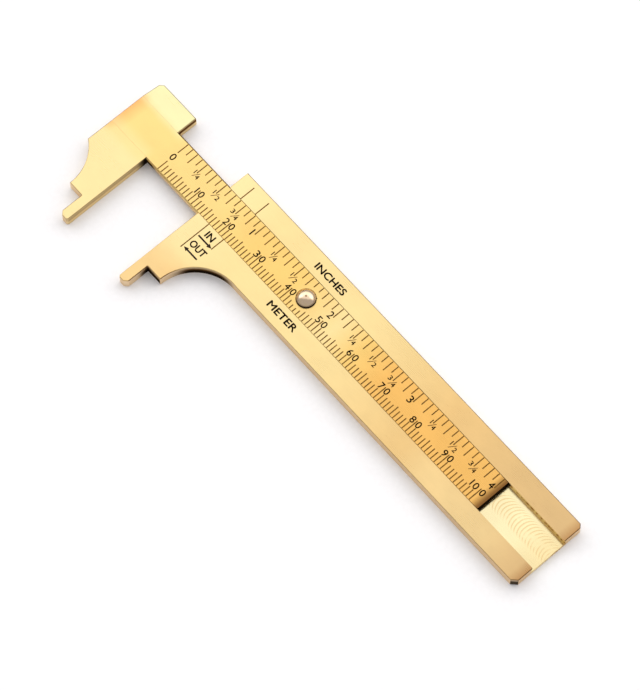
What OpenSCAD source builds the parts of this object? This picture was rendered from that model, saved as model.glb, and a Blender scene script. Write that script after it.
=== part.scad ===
// Sliding caliper of brass. The body is one milled plate with a fixed jaw and a dovetail channel.
// A graduated bar slides in the channel. Its front end is soldered into a crosshead with the sliding jaw,
// and a riveted stud on the bar is what the thumb pushes.
// X runs from the jaws to the tail, Y from the metric side to the inch side, Z out of the graduated face.
// The origin is on the back face, under the line where outside sizes are read.
// The slide is drawn as it lies when closed, with its zero line over the origin, and then pulled out.

/* [Body] */
// Length of the body from its measuring face to the tail
body_l = 106.4; // [80:0.1:180]
// Width of the body across both rails
body_w = 19.2; // [16:0.1:30]
// Thickness of the body and of the sliding jaw
plate_t = 3; // [2.5:0.1:6]
// Corner cut off the tail on the metric side
tail_cut = 1.2; // [0.5:0.1:3]
// Corner cut off the tail on the inch side
inch_tail_cut = 0.7; // [0.5:0.1:3]
// Broken edge round the plates
edge_break = 0.15; // [0.05:0.05:0.4]

/* [Jaws] */
// Opening between the measuring faces
opening = 17.1; // [0.1:0.1:100]
// Radius of the finger arc behind each jaw
finger_r = 11; // [8:0.5:14]
// How far the finger arc bites into the edge of the body
arc_bite = 0.05; // [0.02:0.01:0.2]
// Width of the fixed jaw at its heel
fixed_heel = 6.5; // [4:0.05:12]
// Width of the sliding jaw at its heel
slide_heel = 6.35; // [4:0.05:9]
// Width of each nib, which goes inside a hole to be measured
nib_w = 2.4; // [1.5:0.1:3.6]
// Length of each nib below its heel
nib_l = 6.15; // [3:0.05:12]
// Corner cut at the tip of each nib, on its measuring side
nib_cut = 0.4; // [0.1:0.05:0.5]
// Corner cut at the tip of each nib, on its back
nib_back_cut = 0.8; // [0.2:0.05:0.9]
// Length of the crosshead along the bar
head_l = 11.75; // [10:0.05:16]
// How far the outer edge slants in from the bar to the end of the thumb tab
tab_slant = 0.35; // [0.1:0.05:1]
// Corner cut off the thumb tab at its outer edge
tab_cut = 0.8; // [0.3:0.1:2]

/* [Slide bar] */
// Width of the graduated face
bar_w = 8.8; // [7:0.1:11]
// Thickness of the bar
bar_t = 1.6; // [1:0.1:2]
// Lean of the dovetail flanks from upright, in degrees
flank_angle = 36; // [20:1:50]
// Depth of the dovetail flanks, below which the bar's sides are upright
flank_h = 0.35; // [0.25:0.05:0.6]
// Broken edge along the graduated face
bar_break = 0.06; // [0.04:0.01:0.2]
// Play between the bar and each flank of the channel
side_play = 0.06; // [0.03:0.01:0.2]
// Play between the bar and the floor of the channel
floor_play = 0.1; // [0.03:0.01:0.2]
// Film of solder round the bar in the crosshead
solder_film = 0.02; // [0.01:0.01:0.1]

/* [Scales] */
// Distance from each measuring face to its zero line
zero_offset = 3.6; // [2:0.1:8]
// Bare length of bar past the last graduation
scale_margin = 1.2; // [0.5:0.1:5]
// Width of an engraved line
line_w = 0.26; // [0.1:0.02:0.3]
// Depth of an engraved line
line_d = 0.06; // [0.02:0.01:0.12]
// Length of a millimetre line
mm_line = 2.25; // [1:0.05:2.4]
// Length of a five millimetre line
five_line = 2.7; // [1:0.05:3]
// Length of a ten millimetre line, which parts its two figures
ten_line = 3.65; // [1:0.05:4]
// Length of the zero line of the metric scale
zero_line = 2.85; // [1:0.05:3.2]
// Length of a sixteenth inch line
sixteenth_line = 2.1; // [1:0.05:2.4]
// Length of an eighth inch line
eighth_line = 3.1; // [1:0.05:3.2]
// Length of the outside index line on the jaw's rail
out_line = 8; // [4:0.1:12]
// Length of the inside index line on the jaw's rail
in_line = 3.5; // [2:0.05:4]
// Length of both index lines on the inch rail
inch_index_line = 3.9; // [2:0.1:4.5]

/* [Thumb stud] */
// Place of the stud along the scale, from the zero line
stud_x = 43.75; // [30:0.05:60]
// Place of the stud across the bar, from its centreline
stud_y = -0.15; // [-1:0.05:1]
// Diameter of the head
stud_d = 4.5; // [3:0.1:6]
// Height of the head
stud_h = 1.6; // [1:0.1:3]
// Height of the upright land under the dome
stud_land = 0.25; // [0.1:0.05:0.6]
// Diameter of the turning centre's pip on the dome
pip_d = 0.5; // [0.2:0.05:0.8]
// Diameter of the shank
shank_d = 2.2; // [1.4:0.1:3]
// Diameter of the riveted tail behind the bar
rivet_d = 3.2; // [2.6:0.1:4.5]
// Depth of the riveted tail
rivet_h = 0.5; // [0.2:0.05:0.7]
// Play between the rivet and its hole
rivet_play = 0.02; // [0.01:0.01:0.05]
// Diameter of the spot round the stud that is polished clear of lines
polish_d = 6.1; // [5:0.1:8]

/* [Hidden] */
$fn = 96;

// How far a cut runs past what it cuts
over = 0.5;
// Metric and inch pitch, and how many lines are one figure apart
mm_pitch = 1;
mm_per_figure = 10;
inch_pitch = 25.4;
lines_per_inch = 16;

// Both measuring faces, and the far end of the body, as they lie when closed
face_x = -zero_offset;
tail_x = face_x + body_l;
// Lowest line of the heels, tips of the nibs and height of the finger arcs' centres
heel_y = -body_w / 2 - finger_r;
tip_y = heel_y - nib_l;
arc_y = heel_y + arc_bite;
fixed_arc_x = face_x + fixed_heel + finger_r;
slide_arc_x = face_x - slide_heel - finger_r;
// Where the fixed jaw's arc runs out into the body, and where the sliding jaw's starts on the crosshead
arc_end_x = fixed_arc_x + sqrt(pow(finger_r, 2) - pow(finger_r - arc_bite, 2));
head_x = face_x - head_l;
arc_start_y = arc_y + sqrt(pow(finger_r, 2) - pow(head_x - slide_arc_x, 2));
// Where the bar's edges come free of the crosshead
free_x = face_x - edge_break;
// Edges of the bar, where its lines run out
bar_y = bar_w / 2;
// Where the crosshead's outer edge starts to slant, clear of the groove for the bar
slant_y = bar_y + solder_film + edge_break;
// Inner edge of each rail at the graduated face
rail_y = bar_y + side_play;
// Whole lengths that the two scales hold
scale_l = tail_x - scale_margin;
mm_lines = mm_per_figure * floor(scale_l / (mm_pitch * mm_per_figure));
inch_lines = lines_per_inch * floor(scale_l / inch_pitch);
// Inside sizes are read past the width of both nibs
in_x = 2 * nib_w;
// Radius of the dome that stands on the stud's land
dome_h = stud_h - stud_land;
dome_r = (pow(stud_d / 2, 2) + pow(dome_h, 2)) / (2 * dome_h);

// Length of a metric line by its number
function metric_line(i) =
    i == 0 ? zero_line :
    i % mm_per_figure == 0 ? ten_line :
    i % (mm_per_figure / 2) == 0 ? five_line : mm_line;

// Length of an inch line by its number
function inch_line(i) = i % 2 == 0 ? eighth_line : sixteenth_line;

// Moves what belongs to the slide out to the opening
module pulled_out() {
    translate([-opening, 0, 0])
        children();
}

// Bar of dovetail section from one x to another, with its narrow face on the graduated side and upright
// sides below its flanks. grow widens it on each side, deep lowers its floor and up carries its flanks past
// the graduated side.
module dovetail(x0, x1, grow = 0, deep = 0, up = 0) {
    lean = tan(flank_angle);
    top = bar_y + grow - up * lean;
    low = bar_y + grow + flank_h * lean;
    foot_z = -bar_t - deep;
    translate([x0, 0, plate_t])
        rotate([90, 0, 90])
            linear_extrude(x1 - x0)
                polygon([
                    [top, up], [low, -flank_h], [low, foot_z],
                    [-low, foot_z], [-low, -flank_h], [-top, up]
                ]);
}

// Wedge that breaks one upper edge, from p to q, with the metal on the left of the way
module edge_wedge(p, q, size) {
    way = q - p;
    translate([p.x, p.y, 0])
        rotate([0, 0, atan2(way.y, way.x)])
            rotate([90, 0, 90])
                linear_extrude(norm(way))
                    polygon([[-over, -size - over], [-over, over], [size + over, over]]);
}

// Ring that breaks the upper edge of a finger arc
module arc_wedge(x) {
    translate([x, arc_y, 0])
        rotate_extrude()
            polygon([
                [finger_r - over, -edge_break - over],
                [finger_r - over, over],
                [finger_r + edge_break + over, over]
            ]);
}

// Breaks the straight edges along a row of corners and the edge of one finger arc, on both faces of a plate
module broken_edges(corners, arc_x) {
    for (face = [0, 1])
        translate([0, 0, face * plate_t])
            mirror([0, 0, 1 - face]) {
                for (i = [1 : len(corners) - 1])
                    edge_wedge(corners[i - 1], corners[i], edge_break);
                arc_wedge(arc_x);
            }
}

// Finger arc cut through a plate
module finger_arc(x) {
    translate([x, arc_y, -over])
        cylinder(r = finger_r, h = plate_t + 2 * over);
}

// Engraved line across a rail or the bar, from y0 to y1, sunk from the graduated face
module engraved_line(x, y0, y1) {
    translate([x - line_w / 2, y0, plate_t - line_d])
        cube([line_w, y1 - y0, line_d + over]);
}

// Corners of the body from the inch side's front, round the fixed jaw to its heel
function fixed_jaw_corners() = [
    [face_x, body_w / 2],
    [face_x, tip_y + nib_cut],
    [face_x + nib_cut, tip_y],
    [face_x + nib_w - nib_back_cut, tip_y],
    [face_x + nib_w, tip_y + nib_back_cut],
    [face_x + nib_w, heel_y],
    [face_x + fixed_heel, heel_y]
];

// Corners of the body from the end of the finger arc, round the tail to the inch side's front
function rail_corners() = [
    [arc_end_x, -body_w / 2],
    [tail_x - tail_cut, -body_w / 2],
    [tail_x, -body_w / 2 + tail_cut],
    [tail_x, body_w / 2 - inch_tail_cut],
    [tail_x - inch_tail_cut, body_w / 2],
    [face_x, body_w / 2]
];

// Corners of the crosshead from the sliding jaw's heel to the end of its arc on the outer edge
function sliding_jaw_corners() = [
    [face_x - slide_heel, heel_y],
    [face_x - nib_w, heel_y],
    [face_x - nib_w, tip_y + nib_back_cut],
    [face_x - nib_w + nib_back_cut, tip_y],
    [face_x - nib_cut, tip_y],
    [face_x, tip_y + nib_cut],
    [face_x, body_w / 2],
    [head_x + tab_slant + tab_cut, body_w / 2],
    [head_x + tab_slant, body_w / 2 - tab_cut],
    [head_x, slant_y],
    [head_x, arc_start_y]
];

// Milled plate with the fixed jaw, the dovetail channel and the four index lines
module body() {
    color("#ecd48a")
        difference() {
            linear_extrude(plate_t)
                polygon(concat(
                    fixed_jaw_corners(),
                    [[fixed_arc_x, heel_y], [fixed_arc_x, -body_w / 2]],
                    rail_corners()
                ));
            finger_arc(fixed_arc_x);
            broken_edges(fixed_jaw_corners(), fixed_arc_x);
            broken_edges(rail_corners(), fixed_arc_x);
            dovetail(face_x - over, tail_x + over, side_play, floor_play, over);
            engraved_line(0, -rail_y - out_line, -rail_y + over);
            engraved_line(in_x, -rail_y - in_line, -rail_y + over);
            for (x = [0, in_x])
                engraved_line(x, rail_y - over, rail_y + inch_index_line);
        }
}

// Lines of both scales, kept clear of the polished spot round the stud
module graduations() {
    difference() {
        union() {
            for (i = [0 : mm_lines])
                engraved_line(i * mm_pitch, -bar_y - over, -bar_y + metric_line(i));
            for (i = [0 : inch_lines])
                engraved_line(i * inch_pitch / lines_per_inch, bar_y - inch_line(i), bar_y + over);
        }
        translate([stud_x, stud_y, plate_t - bar_t])
            cylinder(d = polish_d, h = bar_t + 2 * over);
    }
}

// Rivet below the head, from the graduated face to the back of the bar, grown by the play in its hole
module rivet(play = 0) {
    translate([stud_x, stud_y, plate_t - bar_t]) {
        cylinder(d = shank_d + 2 * play, h = bar_t);
        cylinder(d1 = rivet_d + 2 * play, d2 = shank_d + 2 * play, h = rivet_h);
    }
}

// Graduated bar, from the outer edge of the crosshead to the tail of the closed body
module slide_bar() {
    color("#f0c878")
        pulled_out()
            difference() {
                dovetail(head_x, tail_x);
                translate([0, 0, plate_t]) {
                    edge_wedge([tail_x, bar_y], [free_x, bar_y], bar_break);
                    edge_wedge([free_x, -bar_y], [tail_x, -bar_y], bar_break);
                    edge_wedge([tail_x, -body_w / 2], [tail_x, body_w / 2], edge_break);
                    edge_wedge([head_x, body_w / 2], [head_x, -body_w / 2], edge_break);
                }
                graduations();
                rivet(rivet_play);
            }
}

// Crosshead with the sliding jaw and the thumb tab, grooved for the end of the bar
module sliding_jaw() {
    color("#f3df9a")
        pulled_out()
            difference() {
                linear_extrude(plate_t)
                    polygon(concat(sliding_jaw_corners(), [[head_x, heel_y]]));
                finger_arc(slide_arc_x);
                broken_edges(sliding_jaw_corners(), slide_arc_x);
                dovetail(head_x - over, face_x + over, solder_film, solder_film, over);
            }
}

// Domed stud with a turning pip, riveted through the bar
module thumb_stud() {
    color("#d9a877")
        pulled_out() {
            rivet();
            translate([stud_x, stud_y, plate_t])
                difference() {
                    union() {
                        cylinder(d = stud_d, h = stud_land);
                        intersection() {
                            translate([0, 0, stud_h - dome_r])
                                sphere(r = dome_r);
                            translate([0, 0, stud_land])
                                cylinder(d = stud_d + 2 * over, h = dome_h + over);
                        }
                    }
                    translate([0, 0, stud_h - pip_d / 2])
                        cylinder(d1 = 0, d2 = 2 * pip_d, h = pip_d);
                }
        }
}

body();
slide_bar();
sliding_jaw();
thumb_stud();
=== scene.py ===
import math

import bmesh
import bpy
from bpy.props import FloatProperty, FloatVectorProperty, IntProperty, PointerProperty
from mathutils import Matrix, Vector


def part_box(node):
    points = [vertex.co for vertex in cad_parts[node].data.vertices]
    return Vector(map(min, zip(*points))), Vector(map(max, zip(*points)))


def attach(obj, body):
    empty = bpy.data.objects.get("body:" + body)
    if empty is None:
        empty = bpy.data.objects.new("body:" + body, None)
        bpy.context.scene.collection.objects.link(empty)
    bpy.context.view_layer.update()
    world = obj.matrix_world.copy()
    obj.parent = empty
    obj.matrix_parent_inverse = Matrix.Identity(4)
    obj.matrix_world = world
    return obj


bl_info = {
    "name": "Brass Sliding Caliper",
    "version": (1, 0, 0),
    "blender": (4, 5, 0),
    "location": "3D View > Sidebar > Caliper",
    "description": "Finishes the brass of a sliding caliper and inks its scales",
    "category": "Object",
}

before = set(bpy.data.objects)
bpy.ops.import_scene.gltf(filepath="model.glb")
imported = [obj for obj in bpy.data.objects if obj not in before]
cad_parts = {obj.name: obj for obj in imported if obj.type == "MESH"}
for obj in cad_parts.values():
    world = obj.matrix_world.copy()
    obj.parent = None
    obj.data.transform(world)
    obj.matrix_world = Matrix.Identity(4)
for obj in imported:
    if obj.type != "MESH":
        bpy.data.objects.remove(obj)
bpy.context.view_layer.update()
MM = 0.001
INCH = 25.4 * MM

BODY_LOW, BODY_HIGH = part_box("body")
BAR_LOW, BAR_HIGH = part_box("slide_bar")
JAW_LOW, JAW_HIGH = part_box("sliding_jaw")
STUD_LOW, STUD_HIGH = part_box("thumb_stud")

# The graduated face of the body and the bar, and the bar's zero line as the frame holds it
FACE_Z = BODY_HIGH.z
ZERO_X = BAR_HIGH.x - BODY_HIGH.x
STUD_X = (STUD_LOW.x + STUD_HIGH.x) / 2
STUD_Y = (STUD_LOW.y + STUD_HIGH.y) / 2

# Rows of the figures, from the bar's centreline
METRIC_ROW = -1.25 * MM
INCH_ROW = 1.32 * MM
OVER_ROW = 1.38 * MM
UNDER_ROW = 0.7 * MM
SLASH_ROWS = (0.1 * MM, 1.7 * MM)
# Middle of the figure at the zero line, from that line and the centreline
ZERO_MIDDLE = (0.07 * MM, -0.05 * MM)
# Middles of other figures, from the line that they stand at
NOUGHT_STEP = 0.83 * MM
INCH_STEP = -0.8 * MM
# Figures before the line of each ten: the text, and its middle from the line. Other tens have one digit.
FIRST_TEN = (("1", -0.62 * MM),)
LAST_TEN = (("0", -1.2 * MM), ("1", -2.4 * MM))
DIGIT_STEP = -0.9 * MM
# Fractions: both figures, the quarter, and millimetres from its line to both and to the slash's two ends
FRACTIONS = (
    ("1", "4", 1, -0.5, 0.75, -0.35, 0.65),
    ("1", "2", 2, -0.55, 1.05, -0.4, 0.7),
    ("3", "4", 3, -0.85, 0.7, -0.35, 0.85),
)
# Widths of a fraction's figures, as shares of their height
OVER_WIDTH = 0.68
UNDER_WIDTH = 0.7
# Words: the text, its middle along and across the bar, and its width
RAIL_WORDS = (
    ("INCHES", 26.75 * MM, 6.72 * MM, 9.1 * MM),
    ("METER", 26.4 * MM, -6.63 * MM, 8.6 * MM),
)
INDEX_WORDS = (
    ("IN", 2.45 * MM, -6.22 * MM, 2.3 * MM),
    ("OUT", 2.85 * MM, -9.95 * MM, 4.5 * MM),
)
# Arrows: the middle along and across the bar, and the way along it
ARROWS = ((2.6 * MM, -7.83 * MM, 1), (2.5 * MM, -11.83 * MM, -1))
# Tail, neck and tip of an arrow, from its middle
ARROW_STEPS = (-2.1 * MM, 1.0 * MM, 2.1 * MM)
# Half the depth of lettering before it is scaled, and how close two of its corners are one
HALF_DEPTH = 0.5
SAME_CORNER = 1e-7

# Noise in the finishes, in cycles a metre
STROKES = (350, 7000, 7000)
CLOUDS = (90, 140, 140)
SPECKS = 2600
# Roughness of the black shade painted round the stud's foot
STUD_FOOT_ROUGHNESS = 0.9

# Where the studio's back wall lies, and where its softbox stands from the caliper
BACK_WAY = Vector((-0.66, 0.75, 0)).normalized()
KEY_WAY = Vector((-0.45, 0.55, 0.7)).normalized()
# Heights between which the studio's light changes, from 0 at the horizon to 1 overhead
WALL_FOOT = (0.0, 0.15)
PANEL_FOOT = (0.12, 0.42)
PANEL_TOP = (0.64, 1.0)
CEILING_EDGE = (0.7, 0.95)
# Ways between which it changes, from -1 at the front to 1 at the back
CEILING_FRONT = (-0.3, 0.0)
PANEL_ENDS = (-0.15, 0.4)
# Light at the walls' foot, and the studio's slightly warm white
FOOT_LIGHT = 0.1
WHITE = (1.0, 0.98, 0.99, 1)
# The paper lies just under the caliper's back
PAPER_GAP = 0.02 * MM


def length(name, description, default):
    """A length property, in metres."""
    return FloatProperty(
        name=name, description=description, default=default, unit="LENGTH", precision=5)


def tint(name, description, default):
    """A linear colour property."""
    return FloatVectorProperty(
        name=name, description=description, default=default, subtype="COLOR", size=3)


def angle(name, description, degrees):
    """An angle property, given in degrees."""
    return FloatProperty(
        name=name, description=description, default=math.radians(degrees), subtype="ANGLE")


def factor(name, description, default):
    """A share from 0 to 1, such as a roughness."""
    return FloatProperty(
        name=name, description=description, default=default, subtype="FACTOR", min=0, max=1)


def light(name, description, default):
    """A light's radiance, where 1 shows as white."""
    return FloatProperty(name=name, description=description, default=default, min=0)


class CaliperScale(bpy.types.PropertyGroup):
    """Sizes of the engraved lines, as they are cut in the body and the bar."""

    bar_width: length("Bar width", "Width of the bar's graduated face", 8.8 * MM)
    rail_gap: length("Rail gap", "Play between the bar and each rail", 0.06 * MM)
    line_width: length("Line width", "Width of an engraved line", 0.26 * MM)
    line_depth: length("Line depth", "Depth of an engraved line", 0.06 * MM)
    bar_break: length("Bar break", "Broken edge of the bar, where its lines run out", 0.06 * MM)
    mm_line: length("Millimetre line", "Length of a millimetre line", 2.25 * MM)
    five_line: length("Five millimetre line", "Length of a five millimetre line", 2.7 * MM)
    ten_line: length("Ten millimetre line", "Length of a ten millimetre line", 3.65 * MM)
    zero_line: length("Zero line", "Length of the metric zero line", 2.85 * MM)
    sixteenth_line: length("Sixteenth line", "Length of a sixteenth inch line", 2.1 * MM)
    eighth_line: length("Eighth line", "Length of an eighth inch line", 3.1 * MM)
    out_line: length("Outside index", "Length of the outside index line on the jaw's rail", 8 * MM)
    in_line: length("Inside index", "Length of the inside index line on the jaw's rail", 3.5 * MM)
    inch_index_line: length("Inch index", "Length of both index lines on the inch rail", 3.9 * MM)
    in_offset: length("Inside offset", "Distance from the outside to the inside index line", 4.8 * MM)
    polished_spot: length("Polished spot", "Diameter of the bare spot round the stud", 6.1 * MM)
    millimetres: IntProperty(name="Millimetres", description="Length of the metric scale", default=100)
    inches: IntProperty(name="Inches", description="Length of the inch scale", default=4)


class CaliperInk(bpy.types.PropertyGroup):
    """Sizes of the figures and words, and the colours of the ink in them."""

    proud: length("Ink height", "How far printed ink stands off the brass", 0.012 * MM)
    sunk: length("Ink depth", "How far ink in a line lies below the brass", 0.008 * MM)
    zero: length("Zero", "Height of the figure at the zero line", 1.8 * MM)
    zero_width: length("Zero width", "Width of the figure at the zero line", 1.2 * MM)
    figure: length("Metric figure", "Height of a metric figure", 1.68 * MM)
    inch_figure: length("Inch figure", "Height of an inch figure", 1.8 * MM)
    nought: length("Nought", "Width of a nought in the metric figures", 1.15 * MM)
    digit: length("Digit", "Width of the other figures, apart from the narrow one", 1.1 * MM)
    fraction: length("Fraction figure", "Height of a fraction's figures", 1.15 * MM)
    word: length("Unit word", "Height of the unit words on the rails", 1.75 * MM)
    jaw_word: length("Index word", "Height of the words at the index lines", 1.75 * MM)
    stroke: length("Thin stroke", "Width of a fraction's slash", 0.18 * MM)
    shaft: length("Arrow shaft", "Width of an arrow's shaft", 0.4 * MM)
    head: length("Arrow head", "Width of an arrow's head", 1.04 * MM)
    bold: length("Bold figures", "How far the strokes of figures are thickened all round", 0.035 * MM)
    bold_fraction: length("Bold fractions", "How far the strokes of fractions are thickened", 0.03 * MM)
    bold_word: length("Bold words", "How far the strokes of words are thickened all round", 0.07 * MM)
    line_colour: tint("Line ink", "Colour of the ink in the lines", (0.11, 0.052, 0.005))
    figure_colour: tint("Figure ink", "Colour of the figures", (0.085, 0.036, 0.006))
    word_colour: tint("Word ink", "Colour of the words on the rails", (0.014, 0.008, 0.004))


class CaliperBrass(bpy.types.PropertyGroup):
    """Colours and polish of the brass."""

    tab: tint("Tab brass", "Palest brass, on the thumb tab", (0.75, 0.713, 0.383))
    jaw: tint("Jaw brass", "Clean brass of the jaws", (0.83, 0.658, 0.322))
    heel: tint("Heel brass", "Handled brass of the fixed jaw's heel", (0.73, 0.495, 0.213))
    rail: tint("Rail brass", "Handled brass along the rails", (0.79, 0.612, 0.281))
    # Dull and tail brass darken the body towards the tail, partly the brass's own tone and partly painted
    # shade
    dull: tint("Dull brass", "Dulled brass towards the tail", (0.72, 0.485, 0.2))
    tail: tint("Tail brass", "Dullest brass, at the tail", (0.62, 0.424, 0.196))
    bar: tint("Bar brass", "Yellow brass of the bar", (0.81, 0.577, 0.211))
    # Golden and orange deepen the bar along its length, partly tarnish and partly painted shade
    golden: tint("Golden brass", "Deeper yellow along the bar's first half", (0.78, 0.525, 0.164))
    orange: tint("Orange brass", "Tarnish along the bar's second half", (0.775, 0.446, 0.122))
    # Brown painted shade: on edges turned from the light, on the hollows' sides above the black, under the
    # crosshead's upper edge and towards the bar's end
    burnt: tint("Burnt brass", "Brown of burnt and worn edges", (0.21, 0.097, 0.027))
    # Tan painted shade: where the tail's top rounds over at its end, and in dots along the foot of the
    # channel's inch wall
    stain: tint("Stained brass", "Tan stain at the tail's end and under the lips", (0.47, 0.27, 0.11))
    # Black painted shade: low in the hollows, on the tail's cut corner, beside the crosshead's joint, on
    # the bar's end face, on edges turned from the light and round the stud's foot
    residue: tint("Residue", "Dark residue in hollows and on the bar's end", (0.012, 0.006, 0.004))
    heat: tint("Heat tint", "Tint that soldering left on the crosshead", (0.84, 0.41, 0.143))
    # Paler brass painted on the sides, as a painted reflection of the pale floor
    side: tint("Side brass", "Sawn brass of the sides", (0.89, 0.73, 0.54))
    cut: tint("Fresh cut", "Bright milled brass in the channel", (0.90, 0.79, 0.46))
    rose: tint("Rose brass", "Polished brass of the stud", (0.78, 0.60, 0.43))
    glance: tint("Glancing brass", "Colour of brass seen at a low angle", (0.95, 0.80, 0.60))
    roughness: factor("Roughness", "Roughness of the satin brass", 0.3)
    milled: factor("Milled", "Roughness of the milled channel", 0.17)
    polish: factor("Polish", "Roughness of the polished stud", 0.15)
    # Roughness where black shade is painted
    matt: factor("Matt", "Roughness of the dark residue", 0.95)
    feed: length("Cutter feed", "Distance between the cutter's arcs in the channel", 0.85 * MM)
    cutter: length("Cutter radius", "Radius of the cutter's arcs in the channel", 3 * MM)
    cutter_y: length("Cutter path", "Where the cutter ran, from the channel's centreline", 0.6 * MM)
    rings: length("Turned rings", "Distance between the rings that turning left on the stud", 0.12 * MM)


class CaliperStudio(bpy.types.PropertyGroup):
    """Camera, lights and floor."""

    azimuth: angle("Azimuth", "Camera's turn from looking along +Y", 48.85)
    elevation: angle("Elevation", "Camera's height over the horizon", 68.38)
    distance: length("Distance", "From the camera to the point it looks at", 806.3 * MM)
    lens: FloatProperty(
        name="Lens", description="Focal length in millimetres", default=199.3, unit="CAMERA")
    aim_x: length("Aim X", "Where the camera looks, along the bar", 36.57 * MM)
    aim_y: length("Aim Y", "Where the camera looks, across the bar", -4.90 * MM)
    floor_size: length("Floor", "Width of the floor", 6.0)
    key_power: FloatProperty(
        name="Key light", description="Power of the softbox beside the inch rail",
        default=0.85, unit="POWER")
    key_size: length("Key size", "Width of the softbox", 1.0)
    key_distance: length("Key distance", "From the softbox to the point the camera looks at", 1.2)
    ceiling: light("Ceiling", "Light from straight above", 1.145)
    panels: light("Panels", "Light from the white panels round the back and sides", 3.15)
    shade: light("Shade", "Light from the plain walls all round the studio", 0.55)
    lean: factor("Lean", "How much dimmer the panels are at the back than at the sides", 0.65)


# Meshes

def new_piece(name, bm, body, material):
    """Makes an object of a bmesh, which rides on a body and takes its finish from a slot."""
    bmesh.ops.recalc_face_normals(bm, faces=bm.faces)
    mesh = bpy.data.meshes.new(name)
    bm.to_mesh(mesh)
    bm.free()
    mesh.materials.append(material)
    piece = bpy.data.objects.new(name, mesh)
    bpy.context.scene.collection.objects.link(piece)
    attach(piece, body)


def add_block(bm, low, high):
    """Adds a block between two corners."""
    low, high = Vector(low), Vector(high)
    place = Matrix.Translation((low + high) / 2) @ Matrix.Diagonal((*(high - low), 1))
    bmesh.ops.create_cube(bm, size=1, matrix=place)


def add_ink_line(bm, scale, ink, x, y0, y1):
    """Fills one engraved line with ink."""
    half = scale.line_width / 2 - ink.sunk
    low = (x - half, y0 + ink.sunk, FACE_Z - scale.line_depth + ink.sunk / 2)
    high = (x + half, y1 - ink.sunk, FACE_Z - ink.sunk)
    add_block(bm, low, high)


def add_flat_shape(bm, corners, ink):
    """Adds a flat shape of ink on the graduated face, from its corners."""
    verts = [bm.verts.new((x, y, FACE_Z)) for x, y in corners]
    face = bm.faces.new(verts)
    raised = bmesh.ops.extrude_face_region(bm, geom=[face])["geom"]
    lifted = [v for v in raised if isinstance(v, bmesh.types.BMVert)]
    bmesh.ops.translate(bm, vec=(0, 0, ink.proud), verts=lifted)


def add_lettering(bm, text, x, y, height, ink, width, bold):
    """Adds text centred at x, y on the graduated face, of that height and width.

    A width of None keeps the font's own. bold thickens the strokes, by laying four copies that far
    to the right, up, left and down.
    """
    curve = bpy.data.curves.new("lettering", "FONT")
    curve.body = text
    curve.extrude = HALF_DEPTH
    curve.resolution_u = 4
    holder = bpy.data.objects.new("lettering", curve)
    bpy.context.scene.collection.objects.link(holder)
    graph = bpy.context.evaluated_depsgraph_get()
    mesh = bpy.data.meshes.new_from_object(holder.evaluated_get(graph))
    bpy.data.objects.remove(holder)
    bpy.data.curves.remove(curve)
    xs = [v.co.x for v in mesh.vertices]
    ys = [v.co.y for v in mesh.vertices]
    tall = (height - 2 * bold) / (max(ys) - min(ys))
    wide = tall if width is None else (width - 2 * bold) / (max(xs) - min(xs))
    foot = Vector(((max(xs) + min(xs)) / 2, (max(ys) + min(ys)) / 2, -HALF_DEPTH))
    size = Matrix.Diagonal((wide, tall, ink.proud, 1))
    mesh.transform(Matrix.Translation((x, y, FACE_Z)) @ size @ Matrix.Translation(-foot))
    letters = bmesh.new()
    letters.from_mesh(mesh)
    bmesh.ops.remove_doubles(letters, verts=letters.verts, dist=SAME_CORNER)
    letters.to_mesh(mesh)
    letters.free()
    # Each step goes on from the copy before it
    steps = ((1, 0), (-1, 1), (-1, -1), (1, -1)) if bold else ((0, 0),)
    for dx, dy in steps:
        mesh.transform(Matrix.Translation((dx * bold, dy * bold, 0)))
        bm.from_mesh(mesh)
    bpy.data.meshes.remove(mesh)


def clear_of_stud(scale, x, y0, y1):
    """The stretch of an upright line that the polished spot leaves, or None."""
    reach = scale.polished_spot / 2
    aside = max(abs(x - STUD_X) - scale.line_width / 2, 0)
    if aside >= reach:
        return y0, y1
    chord = math.sqrt(reach ** 2 - aside ** 2)
    if y0 < STUD_Y:
        y1 = min(y1, STUD_Y - chord)
    else:
        y0 = max(y0, STUD_Y + chord)
    return (y0, y1) if y1 - y0 > scale.line_width else None


# Materials, which read places in millimetres on the part as the frame holds it

class NodeTree:
    """A node tree, with short calls that add and join its nodes."""

    def __init__(self, tree):
        self.tree = tree

    def feed(self, socket, value):
        """Links a value to a socket, or sets it there if it is a plain number."""
        if isinstance(value, bpy.types.NodeSocket):
            self.tree.links.new(value, socket)
        else:
            socket.default_value = value

    def add(self, kind, settings=None, **inputs):
        """Adds a node with its settings and its named inputs."""
        node = self.tree.nodes.new(kind)
        for name, value in (settings or {}).items():
            setattr(node, name, value)
        for name, value in inputs.items():
            self.feed(node.inputs[name], value)
        return node

    def math(self, operation, *values):
        """The result of a math operation on values or plain numbers."""
        node = self.add("ShaderNodeMath", {"operation": operation})
        for socket, value in zip(node.inputs, values):
            self.feed(socket, value)
        return node.outputs[0]

    def product(self, first, *others):
        """The product of several values."""
        for value in others:
            first = self.math("MULTIPLY", first, value)
        return first

    def rest(self, value):
        """What a share leaves of 1."""
        return self.math("SUBTRACT", 1.0, value)

    def ramp(self, value, low, high, start=0.0, end=1.0):
        """Maps a value from one range to another with a soft step, held at the ends."""
        node = self.add("ShaderNodeMapRange", {"interpolation_type": "SMOOTHSTEP"}, Value=value)
        for name, number in (("From Min", low), ("From Max", high), ("To Min", start), ("To Max", end)):
            node.inputs[name].default_value = number
        return node.outputs["Result"]

    def within(self, value, low, high, soft):
        """1 between two limits, with soft flanks, and 0 outside."""
        rise = self.ramp(value, low - soft, low + soft)
        fall = self.ramp(value, high - soft, high + soft)
        return self.product(rise, self.rest(fall))

    def blend(self, share, first, second):
        """First where share is 0, second where it is 1, for plain numbers or values."""
        return self.math("ADD", self.product(first, self.rest(share)), self.product(second, share))


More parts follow.
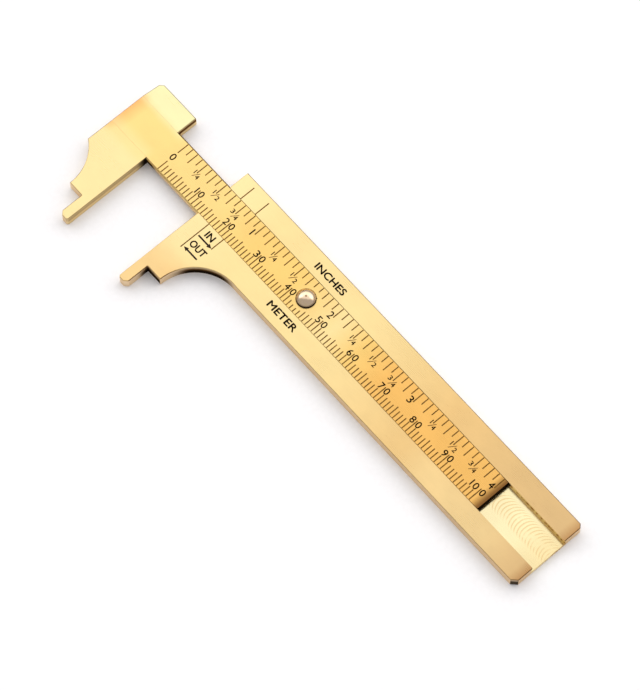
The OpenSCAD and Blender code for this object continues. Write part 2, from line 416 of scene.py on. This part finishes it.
class Finish(NodeTree):
    """The node tree of one material, which reads where on the part a point lies and which way it faces."""

    def __init__(self, name):
        self.material = bpy.data.materials.new(name)
        self.material.use_nodes = True
        super().__init__(self.material.node_tree)
        self.shader = self.tree.nodes["Principled BSDF"]
        self.where = self.add("ShaderNodeTexCoord").outputs["Object"]
        self.x, self.y, self.z = self.add("ShaderNodeSeparateXYZ", Vector=self.where).outputs
        normal = self.add("ShaderNodeNewGeometry").outputs["True Normal"]
        self.face_x, self.face_y, self.face_z = self.add("ShaderNodeSeparateXYZ", Vector=normal).outputs

    def set(self, name, value):
        """Gives an input of the shader a value."""
        self.feed(self.shader.inputs[name], value)

    def noise(self, cycles, detail=3.0):
        """Noise on Object coordinates, of so many cycles a metre, or so many along each axis."""
        scale = cycles if isinstance(cycles, tuple) else (cycles, cycles, cycles)
        place = self.add("ShaderNodeMapping", Vector=self.where, Scale=scale).outputs["Vector"]
        grain = self.add("ShaderNodeTexNoise", Vector=place, Scale=1.0, Detail=detail, Roughness=0.55)
        return grain.outputs["Fac"]

    def grey(self, level):
        """A grey colour of a level."""
        return self.add("ShaderNodeCombineColor", Red=level, Green=level, Blue=level).outputs["Color"]

    def mix(self, share, first, second, blend="MIX"):
        """First colour where share is 0, second where it is 1."""
        node = self.tree.nodes.new("ShaderNodeMix")
        node.data_type = "RGBA"
        node.blend_type = blend
        sockets = (node.inputs[0], node.inputs[6], node.inputs[7])
        for socket, value in zip(sockets, (share, first, second)):
            if not isinstance(value, (float, bpy.types.NodeSocket)):
                value = (*value, 1)
            self.feed(socket, value)
        return node.outputs[2]

    def bands(self, value, low, high, stops):
        """Colours along a value from low to high, each stop a place in the same unit and a colour."""
        share = self.add("ShaderNodeMapRange", Value=value)
        share.inputs["From Min"].default_value = low
        share.inputs["From Max"].default_value = high
        node = self.add("ShaderNodeValToRGB", Fac=share.outputs["Result"])
        elements = node.color_ramp.elements
        while len(elements) < len(stops):
            elements.new(1.0)
        for element, (place, colour) in zip(elements, stops):
            element.position = (place - low) / (high - low)
            element.color = (*colour, 1)
        return node.outputs["Color"]


def satin(finish, brass, colour, residue, roughness=None, bump=None):
    """Brushes a brass finish: fine strokes along the part, clouds of wear, and a little relief.

    The fourth argument is the share of painted black shade, where the brass is also made matt. roughness
    and bump stand in for plain satin brass.
    """
    strokes = finish.noise(STROKES, detail=4.0)
    clouds = finish.noise(CLOUDS, detail=4.0)
    specks = finish.noise(SPECKS, detail=2.0)
    shade = finish.product(
        finish.ramp(clouds, 0.3, 0.72, 0.96, 1.02),
        finish.ramp(strokes, 0.25, 0.75, 0.98, 1.012))
    finish.set("Base Color", finish.mix(1.0, colour, finish.grey(shade), "MULTIPLY"))
    roughness = brass.roughness if roughness is None else roughness
    rough = finish.math("ADD", finish.ramp(strokes, 0.2, 0.8, -0.03, 0.04), roughness)
    rough = finish.math("ADD", rough, finish.ramp(clouds, 0.3, 0.7, -0.03, 0.05))
    finish.set("Roughness", finish.blend(residue, rough, brass.matt))
    relief = finish.math("ADD", strokes, finish.product(specks, 0.6))
    fine = finish.add("ShaderNodeBump", Height=relief, Strength=0.25, Distance=0.004 * MM)
    if bump is not None:
        finish.feed(fine.inputs["Normal"], bump)
    finish.set("Normal", fine.outputs["Normal"])
    finish.set("Metallic", 1.0)
    finish.set("Specular Tint", (*brass.glance, 1))
    return finish.material


def worn_edges(finish, colour, brass, outer):
    """Paints a reflection of the pale floor on the sides, and brown to black shade on the broken edges,
    but for those on the metric side.

    The edges are darkest where outer is high.
    """
    # Painted reflection of the pale floor on the sides
    side = finish.rest(finish.ramp(finish.face_z, 0.2, 0.5))
    colour = finish.mix(finish.product(side, 0.85), colour, brass.side)
    # Brown to black painted shade on the broken edges turned from the light
    rim = finish.product(
        finish.within(finish.face_z, 0.4, 0.9, 0.05),
        finish.ramp(finish.face_y, -0.4, -0.1))
    edge_shade = finish.mix(finish.ramp(outer, 0.2, 0.5, 0.0, 0.65), brass.burnt, brass.residue)
    return finish.mix(finish.product(rim, 0.92), colour, edge_shade)


def upright(finish):
    """1 on upright sides and 0 on level faces."""
    return finish.rest(finish.ramp(finish.math("ABSOLUTE", finish.face_z), 0.2, 0.4))


def rail_colour(finish, brass):
    """Brass along the body: clean at the jaw and dull at the tail, the dulling partly the brass's own tone
    and partly painted shade, with tan painted shade where the tail's top rounds over at its end, and
    browner down the fixed jaw.
    """
    colour = finish.bands(finish.x, BODY_LOW.x, BODY_HIGH.x, (
        (BODY_LOW.x, brass.jaw),
        (10 * MM, brass.rail),
        (42 * MM, brass.rail),
        (66 * MM, brass.dull),
        (BODY_HIGH.x - 2.4 * MM, brass.tail),
        (BODY_HIGH.x - 0.3 * MM, brass.stain),
    ))
    # The metric rail is a little lighter than the inch rail towards the tail
    lighter = finish.product(
        finish.ramp(finish.y, 2 * MM, -7 * MM),
        0.42,
        finish.within(finish.x, 68 * MM, 95 * MM, 6 * MM))
    colour = finish.mix(lighter, colour, brass.jaw)
    heel = finish.product(
        finish.ramp(finish.y, -11 * MM, -19 * MM),
        finish.ramp(finish.x, -1 * MM, 5 * MM, 0.75, 1.0))
    return finish.mix(heel, colour, brass.heel)


def hollow_shares(finish):
    """How much brown and black shade is painted on the sides of the finger arc and the nib's notch, most
    so low down.
    """
    arc = finish.product(
        finish.ramp(finish.x, 2.9 * MM, 5 * MM),
        finish.ramp(finish.x, 14.5 * MM, 10 * MM))
    # Of the notch, only the sides that look to +X and -Y get the painted shade
    turned = finish.math(
        "SUBTRACT",
        finish.product(finish.face_x, 0.55),
        finish.product(finish.face_y, 0.83))
    notch = finish.product(
        finish.within(finish.x, -1.4 * MM, 2.7 * MM, 0.15 * MM),
        finish.ramp(finish.y, -23.5 * MM, -21 * MM),
        finish.ramp(turned, 0.4, 0.55))
    hollow = finish.product(
        finish.math("MAXIMUM", arc, notch),
        finish.within(finish.y, -24.5 * MM, -8.6 * MM, 0.5 * MM),
        upright(finish))
    brown = finish.product(hollow, finish.ramp(finish.z, 2.9 * MM, 1.9 * MM, 0.3, 1.0))
    dark = finish.product(hollow, finish.ramp(finish.z, 2.4 * MM, 1.2 * MM))
    return brown, dark


def tail_corner(finish):
    """How much black shade is painted on the cut corner at the tail's metric side, most so low down."""
    return finish.product(
        finish.ramp(finish.face_x, 0.3, 0.5),
        finish.ramp(finish.face_y, -0.3, -0.5),
        finish.ramp(finish.x, 101 * MM, 101.5 * MM, 0.0, 0.9),
        finish.ramp(finish.z, 2.8 * MM, 1.6 * MM, 0.35, 1.0))


def cutter_arcs(finish, brass):
    """Ridges that the cutter left along the channel's floor, as arcs of its radius with gaps of wear."""
    aside = finish.math("SUBTRACT", finish.y, brass.cutter_y)
    inside = finish.math("SUBTRACT", brass.cutter ** 2, finish.product(aside, aside))
    bow = finish.math("SQRT", finish.math("MAXIMUM", inside, 0.0))
    wobble = finish.product(finish.noise(220), 0.5 * MM)
    along = finish.math("ADD", finish.math("ADD", finish.x, bow), wobble)
    wave = finish.math("SINE", finish.product(along, 2 * math.pi / brass.feed))
    return finish.product(
        finish.math("POWER", finish.ramp(wave, -1.0, 1.0), 4.0),
        finish.within(aside, -2.2 * MM, 2.6 * MM, 0.4 * MM),
        finish.ramp(finish.noise(420), 0.3, 0.55))


def body_brass(brass):
    """Satin brass of the body, clean at the jaw and dull at the tail, partly painted shade, with a bright
    milled channel and painted shade in its hollows, on its edges and on the tail's cut corner.
    """
    finish = Finish("body_brass")
    colour = worn_edges(finish, rail_colour(finish, brass), brass, finish.face_y)
    # The upper edge of the fixed jaw's measuring side is kept clear of the painted edge shade, in the
    # rail's colour
    bright = finish.product(
        finish.ramp(finish.face_x, -0.3, -0.6),
        finish.ramp(finish.face_z, 0.2, 0.5))
    colour = finish.mix(bright, colour, brass.rail)
    # Brown and black painted shade on the sides of the finger arc and the nib's notch
    brown, dark = hollow_shares(finish)
    colour = finish.mix(brown, colour, brass.burnt)
    colour = finish.mix(dark, colour, brass.residue)
    # Black painted shade on the tail's cut corner
    corner = tail_corner(finish)
    colour = finish.mix(corner, colour, brass.residue)
    # The channel's floor
    floor = finish.product(
        finish.within(finish.z, 0.8 * MM, 1.9 * MM, 0.2 * MM),
        finish.ramp(finish.face_z, 0.8, 0.95))
    arcs = cutter_arcs(finish, brass)
    warmer = finish.mix(finish.ramp(finish.x, 92 * MM, BODY_HIGH.x, 0.0, 0.45), brass.cut, brass.rail)
    colour = finish.mix(floor, colour, finish.mix(finish.product(arcs, 0.6), warmer, brass.dull))
    # Its walls are as bright, with tan shade painted in dots along the foot of the inch wall
    wall = finish.product(upright(finish), finish.within(finish.y, -4.9 * MM, 4.9 * MM, 0.1 * MM))
    colour = finish.mix(wall, colour, brass.cut)
    foot = finish.math(
        "MAXIMUM",
        finish.product(wall, finish.ramp(finish.z, 1.7 * MM, 1.5 * MM)),
        finish.product(floor, finish.ramp(finish.y, 4.5 * MM, 4.6 * MM)))
    dots = finish.ramp(finish.noise(1300), 0.42, 0.58, 0.1, 0.95)
    lip_shade = finish.product(foot, dots, finish.ramp(finish.y, 0.0, 1 * MM))
    colour = finish.mix(lip_shade, colour, brass.stain)
    ridges = finish.product(arcs, floor)
    bump = finish.add("ShaderNodeBump", Height=ridges, Strength=0.3, Distance=0.01 * MM)
    # Where black shade is painted on the body: low in the hollows and on the tail's cut corner
    residue = finish.math("MAXIMUM", dark, corner)
    smooth = finish.blend(floor, brass.roughness, brass.milled)
    return satin(finish, brass, colour, residue, smooth, bump.outputs["Normal"])


def tab_share(finish):
    """How far the tab's pale brass reaches across the crosshead and the bar's end in it."""
    drift = finish.product(finish.noise(200), 2 * MM)
    return finish.ramp(finish.math("ADD", finish.y, drift), 3.6 * MM, 7 * MM)


def bar_brass(brass):
    """Satin brass of the bar, deeper along its second half, partly tarnish and partly painted shade, with
    brown painted shade towards its end and black painted shade on its end face.
    """
    finish = Finish("bar_brass")
    # Along the bar the golden and orange bands are partly tarnish and partly painted shade, and the last
    # band is brown painted shade
    colour = finish.bands(finish.x, BAR_LOW.x, BAR_HIGH.x, (
        (BAR_LOW.x, brass.heat),
        (BAR_LOW.x + 3.2 * MM, brass.bar),
        (ZERO_X + 16 * MM, brass.bar),
        (ZERO_X + 27 * MM, brass.golden),
        (ZERO_X + 40 * MM, brass.golden),
        (ZERO_X + 53 * MM, brass.rail),
        (ZERO_X + 60 * MM, brass.golden),
        (ZERO_X + 68 * MM, brass.orange),
        (ZERO_X + 100.5 * MM, brass.orange),
        (ZERO_X + 102.2 * MM, brass.burnt),
    ))
    # In the crosshead the bar takes on the colours of the tab and the jaw at its two edges
    paler = finish.product(tab_share(finish), finish.ramp(finish.x, JAW_HIGH.x + 3 * MM, JAW_HIGH.x))
    colour = finish.mix(paler, colour, brass.tab)
    cleaner = finish.product(
        finish.ramp(finish.y, -1 * MM, BAR_LOW.y, 0.0, 0.5),
        finish.ramp(finish.x, JAW_HIGH.x + 1 * MM, JAW_HIGH.x - 1.5 * MM))
    colour = finish.mix(cleaner, colour, brass.jaw)
    colour = worn_edges(finish, colour, brass, finish.face_y)
    # The end face is painted black, as shade
    end = finish.ramp(finish.face_x, 0.4, 0.7)
    colour = finish.mix(end, colour, brass.residue)
    # Black shade painted on the bar's sides beside the crosshead
    joint_shade = finish.product(
        upright(finish),
        finish.ramp(finish.math("ABSOLUTE", finish.face_y), 0.6, 0.8),
        finish.ramp(finish.x, JAW_HIGH.x + 4 * MM, JAW_HIGH.x + 1.5 * MM))
    colour = finish.mix(joint_shade, colour, brass.residue)
    return satin(finish, brass, colour, finish.math("MAXIMUM", end, joint_shade))


def jaw_brass(brass):
    """Clean satin brass of the crosshead, with the heat tint of its soldered joint at the outer edge."""
    finish = Finish("jaw_brass")
    near = finish.ramp(finish.y, -8 * MM, BAR_LOW.y, 0.06, 0.5)
    clean = finish.mix(near, brass.jaw, brass.bar)
    clean = finish.mix(tab_share(finish), clean, brass.tab)
    drift = finish.product(finish.noise(160), 3 * MM)
    edge = finish.math("ADD", finish.x, drift)
    tinted = finish.product(
        finish.rest(finish.ramp(edge, JAW_LOW.x + 1.2 * MM, JAW_LOW.x + 4.5 * MM)),
        finish.within(finish.y, -6 * MM, 5 * MM, 1.5 * MM),
        0.7)
    colour = finish.mix(tinted, clean, brass.heat)
    outer = finish.math("SUBTRACT", finish.face_y, finish.face_x)
    colour = worn_edges(finish, colour, brass, outer)
    # The sides that meet the body: brown shade painted under the upper edge, and black shade painted
    # beside the bar
    inward = finish.ramp(finish.face_x, 0.5, 0.8)
    colour = finish.mix(finish.product(inward, 0.7), colour, brass.jaw)
    brown = finish.product(
        inward,
        finish.within(finish.z, 1.5 * MM, 2.75 * MM, 0.25 * MM),
        finish.ramp(finish.y, 0.0, 5 * MM, 0.42, 1.0))
    colour = finish.mix(brown, colour, brass.burnt)
    joint_shade = finish.product(inward, finish.within(finish.y, -6.3 * MM, 0.0, 1.3 * MM))
    colour = finish.mix(joint_shade, colour, brass.residue)
    return satin(finish, brass, colour, finish.math("MAXIMUM", joint_shade, brown))


def stud_brass(brass):
    """Polished brass of the stud, with the fine rings that its turning left and black shade painted round
    its foot.
    """
    finish = Finish("stud_brass")
    dx = finish.math("SUBTRACT", finish.x, STUD_X)
    dy = finish.math("SUBTRACT", finish.y, STUD_Y)
    radius = finish.math("SQRT", finish.math("ADD", finish.product(dx, dx), finish.product(dy, dy)))
    rings = finish.math("SINE", finish.product(radius, 2 * math.pi / brass.rings))
    smear = finish.noise(900)
    colour = finish.mix(finish.ramp(smear, 0.35, 0.7, 0.0, 0.35), brass.rose, brass.rail)
    # Black painted shade round the stud's foot
    foot = finish.ramp(finish.z, FACE_Z + 0.75 * MM, FACE_Z + 0.3 * MM)
    finish.set("Base Color", finish.mix(foot, colour, brass.residue))
    rough = finish.ramp(smear, 0.3, 0.7, brass.polish - 0.03, brass.polish + 0.06)
    finish.set("Roughness", finish.blend(foot, rough, STUD_FOOT_ROUGHNESS))
    bump = finish.add("ShaderNodeBump", Height=rings, Strength=0.2, Distance=0.002 * MM)
    finish.set("Normal", bump.outputs["Normal"])
    finish.set("Metallic", 1.0)
    return finish.material


def scale_ink(name, colour):
    """Dry ink with a worn, uneven colour."""
    finish = Finish(name)
    worn = finish.ramp(finish.noise(1800), 0.35, 0.75)
    lighter = [min(1.0, 2.2 * c) for c in colour]
    finish.set("Base Color", finish.mix(worn, colour, lighter))
    finish.set("Roughness", finish.ramp(worn, 0.0, 1.0, 0.6, 0.8))
    finish.set("Specular IOR Level", 0.15)
    return finish.material


def floor_paper():
    """Matt white paper with a faint tooth."""
    finish = Finish("floor_paper")
    finish.set("Base Color", finish.grey(finish.ramp(finish.noise(900), 0.3, 0.7, 0.955, 0.98)))
    finish.set("Roughness", 0.9)
    finish.set("Specular IOR Level", 0.0)
    return finish.material


def dress(node, material):
    """Gives a node of the frame its finish."""
    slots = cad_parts[node].material_slots
    if not slots:
        raise RuntimeError(f"node {node} has no material slot")
    for slot in slots:
        slot.material = material


# Operators

class CALIPER_OT_finish_body(bpy.types.Operator):
    """Finishes the body in satin brass"""

    bl_idname = "caliper.finish_body"
    bl_label = "Finish Body"

    def execute(self, context):
        dress("body", body_brass(context.scene.caliper_brass))
        return {"FINISHED"}


class CALIPER_OT_finish_slide(bpy.types.Operator):
    """Finishes the bar, the crosshead and the stud"""

    bl_idname = "caliper.finish_slide"
    bl_label = "Finish Slide"

    def execute(self, context):
        brass = context.scene.caliper_brass
        dress("slide_bar", bar_brass(brass))
        dress("sliding_jaw", jaw_brass(brass))
        dress("thumb_stud", stud_brass(brass))
        return {"FINISHED"}


class CALIPER_OT_ink_lines(bpy.types.Operator):
    """Fills the engraved lines of both scales and the index lines with ink"""

    bl_idname = "caliper.ink_lines"
    bl_label = "Ink Lines"

    def execute(self, context):
        scale, ink = context.scene.caliper_scale, context.scene.caliper_ink
        material = scale_ink("line_ink", ink.line_colour)
        edge = scale.bar_width / 2
        metric = bmesh.new()
        for i in range(scale.millimetres + 1):
            tall = scale.mm_line
            if i % 10 == 0:
                tall = scale.ten_line if i else scale.zero_line
            elif i % 5 == 0:
                tall = scale.five_line
            x = ZERO_X + i * MM
            kept = clear_of_stud(scale, x, scale.bar_break - edge, tall - edge)
            if kept:
                add_ink_line(metric, scale, ink, x, *kept)
        new_piece("metric_lines", metric, "slide", material)
        inch = bmesh.new()
        for i in range(16 * scale.inches + 1):
            tall = scale.sixteenth_line if i % 2 else scale.eighth_line
            x = ZERO_X + i * INCH / 16
            kept = clear_of_stud(scale, x, edge - tall, edge - scale.bar_break)
            if kept:
                add_ink_line(inch, scale, ink, x, *kept)
        new_piece("inch_lines", inch, "slide", material)
        rail = edge + scale.rail_gap
        index = bmesh.new()
        add_ink_line(index, scale, ink, 0, -rail - scale.out_line, -rail)
        add_ink_line(index, scale, ink, scale.in_offset, -rail - scale.in_line, -rail)
        for x in (0, scale.in_offset):
            add_ink_line(index, scale, ink, x, rail, rail + scale.inch_index_line)
        new_piece("index_lines", index, "frame", material)
        return {"FINISHED"}


class CALIPER_OT_ink_figures(bpy.types.Operator):
    """Prints the figures of both scales on the bar"""

    bl_idname = "caliper.ink_figures"
    bl_label = "Ink Figures"

    def execute(self, context):
        scale, ink = context.scene.caliper_scale, context.scene.caliper_ink
        material = scale_ink("figure_ink", ink.figure_colour)
        # The narrow figure 1 keeps the font's own width
        widths = {"0": ink.nought, "1": None}
        metric = bmesh.new()
        dx, y = ZERO_MIDDLE
        add_lettering(metric, "0", ZERO_X + dx, y, ink.zero, ink, ink.zero_width, ink.bold)
        for tens in range(1, scale.millimetres // 10 + 1):
            x = ZERO_X + 10 * tens * MM
            before = {1: FIRST_TEN, 10: LAST_TEN}.get(tens, ((str(tens), DIGIT_STEP),))
            for text, step in (("0", NOUGHT_STEP), *before):
                width = widths.get(text, ink.digit)
                add_lettering(metric, text, x + step, METRIC_ROW, ink.figure, ink, width, ink.bold)
        new_piece("metric_figures", metric, "slide", material)
        whole = bmesh.new()
        for i in range(1, scale.inches + 1):
            x = ZERO_X + i * INCH + INCH_STEP
            width = widths.get(str(i), ink.digit)
            add_lettering(whole, str(i), x, INCH_ROW, ink.inch_figure, ink, width, ink.bold)
        new_piece("inch_figures", whole, "slide", material)
        parts = bmesh.new()
        for inch in range(scale.inches):
            for fraction in FRACTIONS:
                self.add_fraction(parts, inch, fraction, ink)
        new_piece("inch_fractions", parts, "slide", material)
        return {"FINISHED"}

    @staticmethod
    def add_fraction(bm, inch, fraction, ink):
        """Adds the two figures of a fraction and the slash between them."""
        over, under, quarter, left, right, low, high = fraction
        x = ZERO_X + (inch + quarter / 4) * INCH
        width = None if over == "1" else ink.fraction * OVER_WIDTH
        add_lettering(bm, over, x + left * MM, OVER_ROW, ink.fraction, ink, width, ink.bold_fraction)
        width = ink.fraction * UNDER_WIDTH
        add_lettering(bm, under, x + right * MM, UNDER_ROW, ink.fraction, ink, width, ink.bold_fraction)
        foot, top = x + low * MM, x + high * MM
        foot_y, top_y = SLASH_ROWS
        half = ink.stroke / 2
        add_flat_shape(bm, (
            (foot - half, foot_y), (foot + half, foot_y),
            (top + half, top_y), (top - half, top_y),
        ), ink)


class CALIPER_OT_ink_words(bpy.types.Operator):
    """Prints the unit words and the index words with their arrows on the body"""

    bl_idname = "caliper.ink_words"
    bl_label = "Ink Words"

    def execute(self, context):
        ink = context.scene.caliper_ink
        material = scale_ink("word_ink", ink.word_colour)
        words = bmesh.new()
        for group, height in ((RAIL_WORDS, ink.word), (INDEX_WORDS, ink.jaw_word)):
            for text, x, y, width in group:
                add_lettering(words, text, x, y, height, ink, width, ink.bold_word)
        new_piece("rail_words", words, "frame", material)
        arrows = bmesh.new()
        thin, wide = ink.shaft / 2, ink.head / 2
        for x, y, way in ARROWS:
            tail, neck, tip = (x + way * step for step in ARROW_STEPS)
            add_flat_shape(arrows, (
                (tail, y - thin), (neck, y - thin), (neck, y - wide), (tip, y),
                (neck, y + wide), (neck, y + thin), (tail, y + thin),
            ), ink)
        new_piece("index_arrows", arrows, "frame", material)
        return {"FINISHED"}


class CALIPER_OT_set_stage(bpy.types.Operator):
    """Sets the paper floor, the studio light and the camera"""

    bl_idname = "caliper.set_stage"
    bl_label = "Set Stage"

    def execute(self, context):
        scene, studio = context.scene, context.scene.caliper_studio
        aim = Vector((studio.aim_x, studio.aim_y, FACE_Z))
        self.paper(scene, studio)
        self.camera(scene, studio, aim)
        self.softbox(scene, studio, aim)
        self.walls(scene, studio)
        scene.view_settings.view_transform = "Standard"
        return {"FINISHED"}

    @staticmethod
    def paper(scene, studio):
        """Lays the floor."""
        bm = bmesh.new()
        bmesh.ops.create_grid(bm, x_segments=8, y_segments=8, size=studio.floor_size / 2)
        mesh = bpy.data.meshes.new("paper")
        bm.to_mesh(mesh)
        bm.free()
        mesh.transform(Matrix.Translation((0, 0, BODY_LOW.z - PAPER_GAP)))
        mesh.materials.append(floor_paper())
        floor = bpy.data.objects.new("paper", mesh)
        scene.collection.objects.link(floor)

    @staticmethod
    def camera(scene, studio, aim):
        """Sets the camera, which looks at a point on the graduated face."""
        turn, tilt = studio.azimuth, studio.elevation
        away = Vector((
            math.sin(turn) * math.cos(tilt),
            -math.cos(turn) * math.cos(tilt),
            math.sin(tilt),
        ))
        camera = bpy.data.objects.new("camera", bpy.data.cameras.new("camera"))
        camera.data.lens = studio.lens
        camera.data.clip_start = 50 * MM
        camera.location = aim + away * studio.distance
        camera.rotation_euler = (-away).to_track_quat("-Z", "Y").to_euler()
        scene.collection.objects.link(camera)
        scene.camera = camera

    @staticmethod
    def softbox(scene, studio, aim):
        """Hangs the key light beside the inch rail."""
        key = bpy.data.lights.new("key", "AREA")
        key.shape = "SQUARE"
        key.size = studio.key_size
        key.energy = studio.key_power
        box = bpy.data.objects.new("key", key)
        box.location = aim + KEY_WAY * studio.key_distance
        box.rotation_euler = (-KEY_WAY).to_track_quat("-Z", "Y").to_euler()
        scene.collection.objects.link(box)

    @staticmethod
    def walls(scene, studio):
        """Lights the studio from plain walls all round, a ceiling, and panels round its back and sides."""
        world = bpy.data.worlds.new("studio")
        scene.world = world
        world.use_nodes = True
        walls = NodeTree(world.node_tree)
        way = walls.add("ShaderNodeTexCoord").outputs["Generated"]
        height = walls.add("ShaderNodeSeparateXYZ", Vector=way).outputs["Z"]
        facing = walls.add("ShaderNodeVectorMath", {"operation": "DOT_PRODUCT"})
        walls.feed(facing.inputs[0], way)
        walls.feed(facing.inputs[1], BACK_WAY)
        back = facing.outputs["Value"]
        panels = walls.product(
            walls.ramp(height, *PANEL_FOOT),
            walls.ramp(height, *PANEL_TOP, studio.panels, studio.ceiling),
            walls.rest(walls.product(back, studio.lean)))
        above = walls.product(
            walls.ramp(height, *CEILING_EDGE, 0.0, studio.ceiling - studio.shade),
            walls.ramp(back, *CEILING_FRONT))
        plain = walls.math("ADD", walls.ramp(height, *WALL_FOOT, FOOT_LIGHT, studio.shade), above)
        brighter = walls.math("MAXIMUM", plain, panels)
        level = walls.blend(walls.ramp(back, *PANEL_ENDS), plain, brighter)
        background = world.node_tree.nodes["Background"]
        walls.feed(background.inputs["Strength"], level)
        walls.feed(background.inputs["Color"], WHITE)


class CALIPER_PT_panel(bpy.types.Panel):
    """Lists the steps that dress the caliper"""

    bl_label = "Caliper"
    bl_idname = "CALIPER_PT_panel"
    bl_space_type = "VIEW_3D"
    bl_region_type = "UI"
    bl_category = "Caliper"

    def draw(self, context):
        for step in STEPS:
            self.layout.operator(step.bl_idname)


STEPS = (
    CALIPER_OT_finish_body,
    CALIPER_OT_finish_slide,
    CALIPER_OT_ink_lines,
    CALIPER_OT_ink_figures,
    CALIPER_OT_ink_words,
    CALIPER_OT_set_stage,
)
GROUPS = {
    "caliper_scale": CaliperScale,
    "caliper_ink": CaliperInk,
    "caliper_brass": CaliperBrass,
    "caliper_studio": CaliperStudio,
}


def register():
    for kind in (*GROUPS.values(), *STEPS, CALIPER_PT_panel):
        bpy.utils.register_class(kind)
    for name, group in GROUPS.items():
        setattr(bpy.types.Scene, name, PointerProperty(type=group))


def unregister():
    for name in GROUPS:
        delattr(bpy.types.Scene, name)
    for kind in reversed((*GROUPS.values(), *STEPS, CALIPER_PT_panel)):
        bpy.utils.unregister_class(kind)


def main():
    register()
    bpy.ops.caliper.finish_body()
    bpy.ops.caliper.finish_slide()
    bpy.ops.caliper.ink_lines()
    bpy.ops.caliper.ink_figures()
    bpy.ops.caliper.ink_words()
    bpy.ops.caliper.set_stage()


if __name__ == "__main__":
    main()
